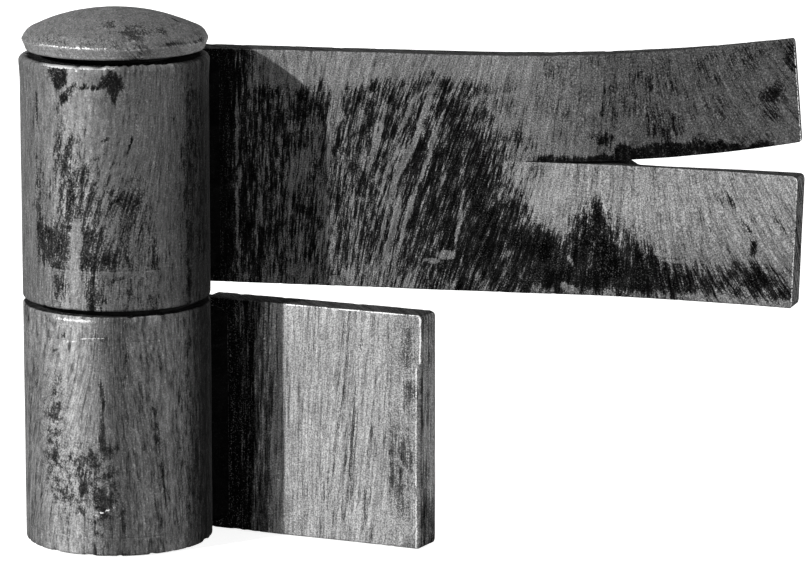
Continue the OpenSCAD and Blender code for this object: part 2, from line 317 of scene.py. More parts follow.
# upper barrel: silver over black, chipped at the top rim, with beads of paint hanging on the rim.
# patches: turn in degrees, height, half width, half height, change of cover, lean of the top to the right
upperBarrel = dict(
    node="upper_barrel", body="wall_side", slot="worn_steel", low=upperZ, high=topZ, foot=0.6, rim=0.9,
    bare=(18.2, 18.9), flare=0.25, grooves=[61.3, 69.4], closeRows=[61.3, 69.4],
    inside=[(10.05, topZ), (10.05, upperZ + seatDeep), (seatR, upperZ + seatDeep), (seatR, upperZ)],
    # paintedShadingByTurn: lightness by turn, painted light and shade: lighter on the front left where the
    # lamps fall, darker on the right towards the leaf
    paintedShadingByTurn=([-180, -150, -131, -122, -113, -104, -97, -90, -85, -75, -66, -54, -43, -34, -26, -9, 10, 40, 90],
           [0.9, 0.64, 0.68, 0.86, 1.1, 1.4, 1.3, 1.1, 0.82, 0.62, 0.6, 0.8, 0.94, 0.62, 0.3, 0.2, 0.34,
            0.6, 0.9]),
    leanFrom=62, leanTo=90, leanAt=[-30, -16, -9, -4, 2, 8, 14, 20, 90],
    leans=[0, 2, 8, 17, 19, 14, 6, 1, 0],
    beads=[(-80, 0.2), (-74, 0.16), (-69, 0.25), (-63, 0.3), (-58, 0.34), (-51, 0.22)],
    steps=[(61.4, 0.24)],
    scratches=[],
    rubbed=[(-71, 69.4, 27, 0.15, 0.4), (-85, 53.5, 42, 0.22, 0.46)],
    blotches=[(-113, 66, 8, 9, 0.35, 0), (-86, 64, 5, 5, 0.15, 0)],
    patches=[
        (-113, 73, 8, 18, -0.34, 0), (-74, 67, 12, 12, -0.24, 0), (-80, 78, 8, 9, -0.18, 18),  # thin silver
        (-112.5, 102.8, 3.2, 1.5, -0.8, 0), (-111.5, 100.8, 2.2, 1.4, -0.8, 0),  # chips below the rim
        (-111, 100, 0.8, 1.3, -0.5, 0), (-106, 98.2, 1.0, 3.0, -0.6, 41), (-77, 102, 2.2, 1.7, -0.7, 0),
        (-75.5, 99.8, 1.9, 1.8, -0.7, 0), (-75.6, 98, 0.6, 1.5, -0.6, 0), (-91, 100.3, 3.4, 0.55, -0.7, 0),
        (-83, 100.8, 1.6, 0.7, -0.5, 0),
        (-130, 93.5, 0.5, 6, -0.6, 0), (-131, 81, 0.6, 8, -0.36, 0), (-124, 66, 3, 4.5, -0.2, 0),  # left
        (-120, 82, 2.0, 20, 0.2, 0), (-111, 87, 0.6, 4.0, -0.24, 5), (-107, 84.5, 0.7, 3.5, -0.26, 8),
        (-103, 86, 0.5, 4, -0.3, 5), (-114, 83, 0.4, 4, -0.2, 3), (-94, 82, 0.6, 2.2, -0.45, 20),
        (-104.5, 74.5, 0.9, 4.5, -0.34, 5), (-110, 76, 0.6, 3.6, -0.2, 4),
        (-115, 66, 5.6, 5.2, -0.16, 0), (-86, 65.6, 4.6, 4.6, -0.26, 0), (-100, 67, 1.2, 6, 0.6, 0),  # foot
        (-101, 57, 1.6, 6, 0.36, 0), (-90, 56, 2.4, 5, -0.5, 0), (-112, 56, 3.4, 4, -0.3, 0),
        (-60, 56, 6, 4, -0.2, 0), (-74, 59.6, 1.4, 0.5, -0.5, -14), (-4, 58.6, 1.6, 1.6, 0.5, 0),
        (-26, 58, 0.7, 5, -0.4, 0), (-65, 76, 2.6, 7, -0.16, 14), (-52, 64.6, 0.9, 4, -0.4, 5),
        (-68, 64, 0.5, 3.5, -0.4, 0),
        (-81, 88.9, 0.9, 0.28, -0.9, 0), (-66.3, 88, 0.3, 2.2, -1.0, 13), (-76, 75.7, 1.5, 0.25, -0.8, -20),
        # the long dark patches at -24 and -8: painted shade in the corner between barrel and leaf
        (-24, 80, 4.5, 30, -0.32, 0), (-29, 76, 1, 2, -0.3, 0), (-30, 86, 1, 5, -0.2, 0),  # right
        (-8, 80, 3, 30, -0.2, 0), (-60, 95, 5, 5, -0.06, 10), (-40, 70, 3, 9, 0.1, 0)])
upperBarrel["material"] = dryBrushed(dict(
    turnedLook, name="upperBarrelPaint", silver=(0.1, 0.28), soft=0.22, dots=0.6,
    mix=(0.8, 0.9, 0.9, 0.8, 0.9)))

# lower barrel: the same paint, with a dark patch low in front and a worn band on its left rim
lowerBarrel = dict(
    node="lower_barrel", body="gate_side", slot="worn_steel", low=0.0, high=barrelH, foot=0.6, rim=0.3,
    bare=(19.3, 19.65), flare=0.0, grooves=[3.9, 46.2], closeRows=[3.9, 46.2, 47.0, 50.0],
    inside=[(seatR, barrelH), (seatR, barrelH - seatDeep), (10.01, barrelH - seatDeep), (10.01, 1.0),
            (11.0, 0.0)],
    # paintedShadingByTurn: lightness by turn, painted light and shade: lighter on the front left where the
    # lamps fall, darker on the right towards the leaf
    paintedShadingByTurn=([-180, -150, -130, -118, -104, -95, -85, -80, -74, -66, -54, -43, -34, -23, -9, 10, 40, 90],
           [0.9, 0.7, 0.85, 1.4, 1.65, 1.36, 0.74, 0.52, 0.42, 0.66, 0.9, 1.1, 1.0, 0.32, 0.12, 0.3,
            0.6, 0.9]),
    leanFrom=6, leanTo=44, leanAt=[-30, -24, -18, -12, -6, 0, 6, 12, 18, 90],
    leans=[0, 6, 14, 17, 11, 2, -3, -7, -2, 0],
    beads=[],
    steps=[(3.9, 0.1)],
    scratches=[(-104, 46.1, 2.8, 0.22, 0.53, -14), (-89, 47, 4.6, 0.18, 0.53, -3),
               (-85, 9.7, 3.8, 0.26, 0.7, -22), (-107, 4.0, 9.5, 0.22, 0.46, 0)],
    rubbed=[(-107, 50.7, 15, 0.7, 0.53), (-107, 49.6, 14, 0.22, 0.42), (-76, 50.6, 24, 0.7, 0.36)],
    blotches=[(-102, 15, 9, 13, 0.5, 10), (-119, 28, 5, 14, 0.7, 0), (-84, 12, 4, 7, 0.3, 0)],
    patches=[
        (-86, 36, 0.5, 3.6, -0.7, -8), (-84.5, 30, 0.6, 4.8, -0.6, 4), (-85, 24, 1.0, 3.4, -0.3, 0),  # front
        (-83, 17, 3.0, 5.6, -0.12, 0), (-84, 11, 1.8, 3.4, -0.46, 8), (-92, 21, 1.6, 2.2, -0.16, 0),
        (-77, 23, 1.8, 1.6, -0.3, 0), (-73.5, 8, 0.6, 4.5, -0.55, 0), (-72, 40, 0.35, 6, -0.5, 6),
        (-53, 31, 1.2, 0.9, -0.5, 40), (-51, 25, 0.8, 6, -0.5, -8), (-47.5, 15, 0.5, 5, -0.5, -8),
        (-117, 30, 1.8, 3.2, -0.3, 10), (-118, 21, 1.2, 1.4, -0.45, 0), (-115, 36, 1.2, 3, -0.3, 25),  # left
        (-116, 43.5, 0.6, 0.6, -0.6, 0), (-110, 47, 0.6, 0.6, -0.6, 0), (-85.5, 47, 2.4, 1.0, -0.35, 0),
        (-90, 45.2, 1.4, 0.5, -0.4, 0), (-97, 14.5, 0.9, 1.2, -0.4, 20), (-99, 9.5, 1.0, 1.0, -0.5, 0),
        (-88, 4.6, 1.3, 1.0, -0.45, 0), (-88, 1.2, 1.8, 1.2, -0.4, 0),  # foot
        (-112, 2.2, 1.6, 1.4, -0.35, 20), (-104, 6.5, 4, 2.6, 0.3, 0), (-108, 1.6, 2, 1.4, 0.3, 0),
        # the long dark patches at -25 and -8: painted shade in the corner between barrel and leaf
        (-101, 31, 3.6, 9, 0.24, 25), (-66, 25, 3, 16, 0.08, 0), (-25, 26, 4, 28, -0.25, 0),
        (-8, 26, 4, 28, -0.3, 0),
        (-107, 15.6, 8, 11, -0.3, 10), (-120, 28, 3.4, 7, -0.26, 0),  # thin silver
        (-86, 17, 5, 10, -0.14, 0), (-62, 36, 5, 12, -0.1, 8)])
lowerBarrel["material"] = dryBrushed(dict(
    turnedLook, name="lowerBarrelPaint", wide=1.5, cloud=2.2, soft=0.26, black=(0.008, 0.04),
    silver=(0.055, 0.33), mix=(0.9, 0.7, 0.6, 1.2, 0.6)))


# up the outside from foot to rim, rows closer at the turned lines, then down the inside and back to the foot
def barrelProfile(spec):
    low, high, foot, rim = (spec[key] for key in ("low", "high", "foot", "rim"))
    close = [z + np.linspace(-0.5, 0.5, 9) for z in spec["closeRows"]]
    wall = np.sort(np.concatenate([np.linspace(low + foot, high - rim, 92)[1:-1]] + close))
    outer = np.concatenate([arc((barrelR - foot, low + foot), foot, -90, 0, 7),
                            np.stack([np.full_like(wall, barrelR), wall], -1),
                            arc((barrelR - rim, high - rim), rim, 0, 90, 7)])
    corners = np.concatenate([outer[-1:], np.array(spec["inside"]), outer[:1]])
    return np.concatenate([outer, pathThrough(corners, 8)])


# outside only: shallow lumps, a flare at the rim, turned grooves, nicked edges and beads of paint
def barrelDent(spec):
    def dent(xyz, flat, normal):
        z, high = xyz[:, 2], spec["high"]
        d = (lumps(xyz, 7.0, 11) - 0.5) * 0.1 + spec["flare"] * bell(z, high, 3)
        for groove in spec["grooves"]:
            d = d - 0.07 * bell(z, groove, 0.16)
        edge = np.minimum(high - z, z - spec["low"])
        d = d - 0.28 * ramp(lumps(xyz, 1.6, 12), 0.56, 0.8) * (1 - ramp(edge, 0.3, 1.6))
        for turn, tall in spec["beads"]:
            d = d + tall * bell((flat[:, 0] - turn) * perDegree, 0, 0.55) * bell(z, high, 0.7)
        return d * ramp(flat[:, 1], barrelR - 2.2, barrelR - 1.2)
    return dent


# turns in degrees become mm round the barrel, from its front
def unrolled(places):
    return [((turn + 90) * perDegree, *rest) for turn, *rest in places]


# cover by patches and steps, a painted highlight on the lit side of the rim, rubbed bands and scratches,
# none of them inside, where it is black as painted shade
def barrelPaint(spec):
    def paint(xyz, flat, normal):
        turn, z = flat[:, 0], xyz[:, 2]
        across = (turn + 90) * perDegree
        ragged = raggedness(xyz, 2.4, 0.9, 0.35, 22)
        cover = 0.88 + blots(across + 1.3 * ragged[0], z + 1.8 * ragged[1], unrolled(spec["patches"]))
        for up, amount in spec["steps"]:  # paint lies thicker below a turned line, and thins out downwards
            cover = cover + amount * ramp(up - z, 0, 0.3) * np.exp(-np.maximum(up - z, 0) / 3)
        edge = np.minimum(spec["high"] - z, z - spec["low"])
        # bare metal on the top rim only on the side that the key lamp lights: a painted highlight
        lit = ramp(np.cos(np.radians(turn + 100)), 0.82, 0.96)
        wear = 0.64 * (1 - ramp(edge, 0.15, 0.9)) * lit * (z > topZ - 2)
        for middle, up, wide, tall, amount in spec["rubbed"]:
            wear = wear + amount * np.exp(-((turn - middle) / wide) ** 4) * bell(z, up, tall)
        wear = wear + blots(across, z, unrolled(spec["scratches"]))
        # inside the bore and seat and on the top faces under the head and between the barrels: black,
        # painted shade in the gaps
        inside = 1 - ramp(flat[:, 1], *spec["bare"])
        return dict(cover=np.where(inside > 0.5, 0.0, cover), wear=wear * (1 - inside),
                    tone=np.interp(turn, *spec["paintedShadingByTurn"]),
                    blotch=np.clip(blots(across, z, unrolled(spec["blotches"])), 0, 1))
    return paint


# height climbed past a level, eased in over a few mm
def climbed(z, level, ease=4):
    return ease * np.log1p(np.exp((z - level) / ease))


# Brush strokes start upright and lean over with height. Each stroke keeps the first brush coordinate that
# it starts with, found by reading the way from start to place backwards at every height.
def barrelSheets(spec):
    xyz, run, flat = turned(barrelProfile(spec))
    start, z = (flat[:, 0, 0] + 90) * perDegree, flat[0, :, 2]
    rise = climbed(z, spec["leanFrom"]) - climbed(z, spec["leanTo"])
    lean = np.tan(np.radians(np.interp(start, spec["leanAt"], spec["leans"])))
    reached = np.maximum.accumulate(start[:, None] + lean[:, None] * rise[None], axis=0)
    stroke = np.stack([np.interp(start, way, start) for way in reached.T], 1)
    return [(xyz, np.stack([stroke, run], -1), flat)]


for name, spec in (("upperBarrelShell", upperBarrel), ("lowerBarrelShell", lowerBarrel)):
    dress(surface(name, barrelSheets(spec), barrelDent(spec), barrelPaint(spec)), spec)

# pin with its mushroom head: a flat dome, round shoulders, a narrow land, a rim that leans in below.
# patches: middle across and back from the axis, half sizes, change of cover, lean
hingePin = dict(
    node="hinge_pin", body="gate_side", slot="worn_steel", pinR=10, chamfer=1, domeH=6.1, rimH=2.5,
    headR=19.55, land=0.15, shoulderR=3.6, drop=1.08, underR=18.1, underEdge=0.8, rimR=19.5, rimEdge=0.25,
    patches=[
        (8.7, -13, 2.8, 3.0, -0.44, 30), (7, -15.4, 3.2, 1.4, -0.42, 15), (2.2, -12.4, 1.4, 2.4, -0.4, 0),
        (12.8, -9.6, 1.8, 1.6, -0.42, 15), (13.2, -0.3, 1.8, 0.4, -0.7, 14), (4.6, -10, 4, 3, -0.16, 0)])
hingePin["material"] = dryBrushed(dict(
    turnedLook, name="headPaint", wide=2.2, fine=0.9, hair=0.4, long=(2, 2, 2), soft=0.22, speckle=0.3,
    mix=(0.4, 0.7, 0.9, 0.8, 0.6), silver=(0.13, 0.24), black=(0.012, 0.045), bump=0.5))


# up the shank to the head, out along the underside, up the rim, over the shoulder to the dome's middle
def pinProfile(spec):
    rimTop, r, drop = headZ + spec["rimH"], spec["shoulderR"], spec["drop"]
    ringR = spec["headR"] - spec["land"] - math.sqrt(r ** 2 - drop ** 2)
    rise = spec["domeH"] + drop
    domeR = (ringR ** 2 + rise ** 2 - r ** 2) / (2 * (rise - r))
    meet = math.degrees(math.atan2(domeR - rise, ringR))
    shoulder = arc((ringR, rimTop - drop), r, math.degrees(math.asin(drop / r)), meet, 16)
    dome = arc((0, rimTop + spec["domeH"] - domeR), domeR, meet, 90, 62)[1:]
    dome[-1, 0] = 0
    underR, e, rimE = spec["underR"], spec["underEdge"], spec["rimEdge"]
    rim = np.concatenate([arc((underR, headZ + e), e, -90, 0, 7),
                          np.linspace((underR + e, headZ + e), (spec["rimR"], rimTop - rimE - 0.1), 9)[1:-1],
                          arc((spec["headR"] - rimE, rimTop - rimE), rimE, 0, 80, 5)])
    pinR, chamfer = spec["pinR"], spec["chamfer"]
    shank = [(0, 0), (pinR - chamfer, 0), (pinR, chamfer), (pinR, headZ), (underR, headZ)]
    return np.concatenate([shank[:1], pathThrough(shank, 14), rim[1:], shoulder, dome])


# a dark line along the land, on the right of the head
def darkLandLine(xyz, flat):
    turn = np.radians(flat[:, 0])
    height = headZ + 2.7 + 0.2 * np.sin(turn * 7)
    along = ramp(np.cos(turn + math.radians(24)), 0.9, 0.97)
    along = along + 0.25 * ramp(np.cos(turn + math.radians(62)), 0.93, 0.97)
    return bell(xyz[:, 2], height, 0.4) * along * (flat[:, 1] > 17)


# head only: lumps and a rim pushed out on the right, with the dark line on the land pressed in
def pinDent(xyz, flat, normal):
    head = ramp(xyz[:, 2], headZ - 0.2, headZ + 0.4)
    bulge = ramp(np.cos(np.radians(flat[:, 0] - 12)), 0.4, 1.0) * ramp(flat[:, 1], 17.6, 19)  # out of round
    d = (lumps(xyz, 6.0, 31) - 0.5) * 0.2 + (lumps(xyz, 1.3, 32) - 0.5) * 0.06 + 0.4 * bulge
    return d * head - 0.12 * darkLandLine(xyz, flat)


# cover by patches, less along the dark line and the shoulder, a painted highlight on the front of rim and
# shoulder, and painted light on the front
def pinPaint(xyz, flat, normal):
    x, y, z = xyz.T
    ragged = raggedness(xyz, 2.0, 0.8, 0.4, 33)
    # front: the side towards the key lamp, where a highlight and a lighter tone are painted
    front = ramp(np.cos(np.radians(flat[:, 0] + 107)), 0.72, 0.95)
    shoulder = bell(z, headZ + 3.6, 1.0) * (flat[:, 1] > 15)
    rimLine = bell(z, headZ + 2.55, 0.3) * (flat[:, 1] > 17.5)
    wear = (0.42 * rimLine + 0.33 * shoulder) * front
    cover = 0.9 + blots(x + 1.6 * ragged[0], y + 1.6 * ragged[1], hingePin["patches"])
    cover = cover - 0.5 * darkLandLine(xyz, flat) - 0.22 * shoulder * front
    tone = 0.85 + 0.1 * front + 0.42 * ramp(z, headZ + 2.6, headZ + 2.2)
    # underside of the head and the shank: black, painted shade under the head
    return dict(cover=np.where(z < headZ + 0.1, 0.0, cover), wear=wear, tone=tone)


pinPoints, pinFlat = turned(pinProfile(hingePin))[::2]
pinBrush = pinPoints[..., :2] + pinPoints[..., 2:] * (0.7, 0.4)  # strokes in plan, aslant down the rim
dress(surface("hingePinHead", [(pinPoints, pinBrush, pinFlat)], pinDent, pinPaint), hingePin)


# Closed section of flat bar for each step along it: up the front face, back over the top edge, down the back
# face, forward under the lower edge. rowsAt sets the heights of the rows on a face between its round edges.
def barSection(along, low, high, lowRound, highRound, inset, rowsAt, edgeRows=7, arcSteps=4):
    values = (low + inset, high - inset, lowRound, highRound, inset)
    low, high, lowRound, highRound, front = (np.broadcast_to(np.asarray(v, float), along.shape)[:, None]
                                             for v in values)
    back = barT - front
    lowRound = np.minimum(lowRound, (back - front) / 2)
    highRound = np.minimum(highRound, (back - front) / 2)
    face = rowsAt(low + lowRound, high - highRound)
    a = np.linspace(0, math.pi / 2, arcSteps + 2)[None, 1:-1]
    leave, reach = 1 - np.cos(a), 1 - np.sin(a)
    t = np.linspace(0, 1, edgeRows)[None]
    y = [front + 0 * face, front + highRound * leave, front + highRound + (back - front - 2 * highRound) * t,
         back - highRound * reach, back + 0 * face, back - lowRound * leave,
         back - lowRound - (back - front - 2 * lowRound) * t, front + lowRound * reach, front]
    z = [face, high - highRound * reach, high + 0 * t, high - highRound * leave, face[:, ::-1],
         low + lowRound * reach, low + 0 * t, low + lowRound * leave, face[:, :1]]
    y, z = np.concatenate(y, 1), np.concatenate(z, 1)
    return np.stack([along[:, None] + 0 * y, y, z], -1)


# steps along a bar to its free end: the end edge is rounded off, then the end face closes on its middle line
def endSteps(start, end, count, rounding=0.45):
    a = np.radians(np.linspace(0, 90, 6))[1:]
    closing = np.array([0.25, 0.5, 0.75, 1.0])
    along = np.concatenate([np.linspace(start, end - rounding, count), end - rounding * (1 - np.sin(a)),
                            np.full(len(closing), end)])
    inset = np.concatenate([np.zeros(count), rounding * (1 - np.cos(a)),
                            rounding + (barT / 2 - rounding) * closing])
    return along, inset


# closes the welded end of a bar on its middle plane
def bluntStart(bar):
    blunt = bar[:1].copy()
    blunt[..., 1] = barT / 2
    return np.concatenate([blunt, bar])


# strokes lean with the brush: the first brush coordinate stays the same along one stroke
def brushUv(flat, leanAt, leans):
    x, y, z = np.moveaxis(flat, -1, 0)
    lean = np.tan(np.radians(np.interp(x, leanAt, leans)))
    edge = np.where((y > 0.6) & (y < barT - 0.6), y, 0)
    mid = barW / 2 + np.where(z < slitZ, -12, 14) * ramp(x, 86, 112)  # middles of the two tines
    return np.stack([x - lean * (z - mid) + edge, z + edge], -1)


# rows at even shares of the way from low to high
def evenRows(count):
    return lambda low, high: low + (high - low) * np.linspace(0, 1, count)[None]


# round or cut free corners: how far an edge is drawn in, by the distance left to the end
def cornerIn(left, radius):
    left = np.clip(left, 0, radius)
    return radius - np.sqrt(radius ** 2 - (radius - left) ** 2)


# bends a flat tine from its root about an axis square to its way: back and up in degrees over its length
def bendTine(flat, root, length, back, up, mid):
    turn = math.hypot(back, up)
    radius = length / math.radians(turn)
    dy, dz = back / turn, up / turn
    s, y, z = flat[..., 0] - root, flat[..., 1] - barT / 2, flat[..., 2] - mid
    p, q = y * dy + z * dz, -y * dz + z * dy
    a = np.maximum(s, 0) / radius
    w = radius - (radius - p) * np.cos(a)
    x = np.where(s > 0, (radius - p) * np.sin(a), s)
    return np.stack([root + x, barT / 2 + dy * w - dz * q, mid + dz * w + dy * q], -1)


# Anchor leaf: flat bar from the barrel to the slit, then two tines spread apart. Lines are places along the
# bar and heights: blackLine is the upper limit of the black on the lower part, bandLine the lower limit of
# the pale band along the top, paintedSlitShade how far painted shade reaches above the slit.
# silverLine is the left limit of the silver above the slit, by height. flames are tips of black that
# lick up into the band.
anchorLeaf = dict(
    node="anchor_leaf", body="wall_side", slot="leaf_steel", root=86.0, slitLow=slitZ - 0.1,
    slitHigh=slitZ + 0.1, edge=0.4, slitEdge=0.25, bodySteps=140, tineSteps=130, rows=60,
    upper=dict(length=57.4, straight=0.0, bend=(5.3, 9.6), twist=-8.0, skew=4.6, corners=(0.5, 0.5),
               narrow=0.45, cut=([0, 1], [0, 0])),
    lower=dict(length=58.4, straight=6.5, bend=(-8.6, -1.1), twist=1.0, skew=1.0, corners=(0.5, 1.2),
               narrow=0.0, cut=([0.2, 0.3, 0.365, 0.395, 0.5, 1], [0, -0.4, -0.4, 0.7, 0.8, 0.3])),
    leanAt=[15, 30, 45, 60, 75, 92, 110, 122, 132, 145], leans=[0, 2, 8, 17, 20, 8, 0, -16, -30, -36],
    swell=([73, 80, 94, 111, 124, 137, 145], [0, 0.08, 0.42, 0.5, 0.38, 0.15, -0.15]),
    # coverAndCornerShade: cover by place along the bar, held low next to the barrel as painted shade in the
    # corner
    coverAndCornerShade=([15, 21, 24, 30, 42, 50, 58, 65, 74, 86],
            [-0.2, 0.0, 0.26, 0.41, 0.41, 0.43, 0.39, 0.29, 0.21, 0.22]),
    blackLine=([66, 79, 87, 94, 98, 102, 105, 112, 120, 132, 145],
               [30, 22, 15, 13, 18, 21, 15, 11, 9, 10, 8]),
    silverLine=([26, 28.4, 31, 34, 38, 42, 49], [85, 84, 83.5, 82.5, 80, 78, 76]),
    bandLine=([30, 50, 58, 75], [43.5, 44, 46, 46.5]),
    paintedSlitShade=([88, 92, 101, 106, 112, 126, 134], [0.4, 1.3, 1.4, 2.6, 3.4, 3.0, 1.0]),
    flames=[(37.8, 45.7), (42.2, 45.5), (47.6, 45.3), (51.3, 46.5), (53.9, 44), (56.8, 47), (60.5, 49),
            (63.6, 47), (66.6, 48.1), (70.3, 47.9), (73, 46), (76.4, 49)],
    patches=[
        (43.7, 31, 0.8, 6.5, 0.25, 0), (43, 14, 2.4, 9, 0.14, 8), (45.2, 40, 1.5, 4.5, 0.3, 0),  # strokes
        (63.9, 37.8, 0.6, 8.6, 0.6, 18), (58.7, 25.4, 0.7, 6.7, 0.6, 25), (57.3, 13.2, 0.65, 8.8, 0.6, 13),
        (65.5, 30.3, 0.45, 8.4, 0.65, 19), (60.8, 16.4, 0.45, 6.9, 0.6, 16),
        (60.8, 38.2, 0.5, 5.7, 0.45, 24), (56.6, 26, 0.4, 6, 0.45, 22), (55, 12, 0.4, 8, 0.45, 12),
        (54.6, 34, 0.4, 7, 0.45, 14), (52.6, 29, 0.5, 5.4, 0.4, 12), (68, 23.2, 0.4, 4.1, 0.55, 19),
        (71.9, 16, 0.4, 5.9, 0.55, 9),
        (23.5, 22, 0.3, 22, 0.7, 0), (52, 22, 2.4, 10, -0.12, 12), (35, 22, 0.4, 12, 0.3, 2),
        (28.5, 18, 0.35, 6, 0.35, 4), (38, 26, 1.6, 7, 0.2, 24),
        (102, 33.4, 2.8, 1.4, -0.34, 12), (114.5, 35.5, 6, 2.8, -0.3, 10),  # upper tine
        (110, 43, 10, 5, -0.16, -20), (138, 38.4, 3.6, 4.6, -0.32, 20), (143, 47, 2.2, 3.6, -0.4, 0),
        (131, 48.4, 7, 2.4, -0.26, 0), (125, 40, 5, 6, -0.08, 0),
        (68.8, 7.7, 2.2, 0.9, 0.8, 0), (65.9, 6.4, 1.7, 0.45, 0.8, 8),  # dabs
        (95.4, 1.6, 2.4, 0.6, 0.9, 22), (117, 9.6, 3.4, 0.22, 0.5, 0), (118, 8.4, 3.8, 0.2, 0.5, 2),
        (96, 7.4, 0.25, 1.7, 0.8, -28),
        (135.6, 12.4, 0.8, 2.0, -0.5, 0), (130.6, 21.6, 0.4, 3.0, -0.55, -30),  # lower tine
        (134, 16.6, 0.4, 3.2, -0.55, -40), (127.4, 22.6, 0.35, 3.2, -0.4, -30),
        (125.4, 16.6, 0.35, 3, -0.35, -30), (140.4, 18.5, 0.35, 4, -0.35, -48),
        (139, 12, 2.6, 2.6, 0.3, 0), (137, 5.4, 3, 2, -0.3, 0)])
anchorLeaf["material"] = dryBrushed(dict(
    brushedLook, name="anchorLeafPaint", soft=0.2, mix=(0.5, 1.0, 1.0, 0.8, 0.6), silver=(0.065, 0.235),
    speckle=0.5, veil=0.1, fleck=0.42))


# one tine: leaned off at its end, its slit face cut aslant, twisted about its own middle line, then bent
def tineSheet(spec, tine, low, high, lowRound, highRound):
    root, length, mid = spec["root"], tine["length"], (low + high) / 2
    steps, inset = endSteps(root, root + length, spec["tineSteps"])
    lowIn, highIn = (cornerIn(root + length - steps, r) for r in tine["corners"])
    lowIn = lowIn + tine["narrow"] * (steps - root) / length
    start = ramp(steps, root, root + 3)  # the slit's edges are sharp where it starts
    lowRound, highRound = (start * r if r == spec["slitEdge"] else r for r in (lowRound, highRound))
    flat = barSection(steps, low + lowIn, high - highIn, lowRound, highRound, inset, evenRows(spec["rows"]))
    x, y, z = np.moveaxis(flat, -1, 0)
    share = (x - root) / length
    turn = math.radians(tine["twist"]) * share ** 1.5
    fall = np.interp(share, *tine["cut"]) * ramp(z, high - 4, high - 0.3)  # the cut falls away to the back
    z = z - mid - fall * y / barT
    y = y - barT / 2
    along = x + z * share * math.tan(math.radians(tine["skew"]))
    c, s = np.cos(turn), np.sin(turn)
    twisted = np.stack([along, barT / 2 + y * c - z * s, mid + y * s + z * c], -1)
    straight = tine["straight"]
    return flat, bendTine(twisted, root + straight, length - straight, *tine["bend"], mid)


# the straight body, the bottom of the slit and both tines, with the swell added towards the top edge
def anchorSheets(spec):
    e, s, low, high, root = (spec[key] for key in ("edge", "slitEdge", "slitLow", "slitHigh", "root"))

    def bothRows(bottom, top):  # the rows of both tines, so that the body meets them point to point
        t = np.linspace(0, 1, spec["rows"])[None]
        return np.concatenate([bottom + (low - bottom) * t, high + (top - high) * t], 1)
    steps = np.linspace(leafStart, root, spec["bodySteps"])
    body = bluntStart(barSection(steps, 0, barW, e, e, 0, bothRows))
    crotch = np.stack(np.meshgrid(root, np.linspace(0, barT, 7), (low, high), indexing="ij"), -1)[0]
    pairs = [(body, body), (crotch, crotch), tineSheet(spec, spec["upper"], high, barW, s, e),
             tineSheet(spec, spec["lower"], 0, low, e, s)]
    sheets = []
    for flat, bent in pairs:
        share = np.clip((flat[..., 2:] - high) / (barW - high), 0, 1)
        lift = share * np.interp(flat[..., :1], *spec["swell"]) * (0, 0, 1)
        brush = brushUv(flat, spec["leanAt"], spec["leans"])
        sheets.append((bent + (0, leafFront, anchorZ) + lift, brush, flat))
    return sheets


# broad and small lumps, and nicks along the two long edges
def leafDent(seed, nick):
    def dent(xyz, flat, normal):
        d = (lumps(xyz, 11.0, seed) - 0.5) * 0.16 + (lumps(xyz, 3.0, seed + 1) - 0.5) * 0.04
        rim = np.minimum(flat[:, 2], barW - flat[:, 2])
        return d - nick * ramp(lumps(xyz, 1.8, seed + 2), 0.55, 0.8) * (1 - ramp(rim, 0.2, 1.0))
    return dent


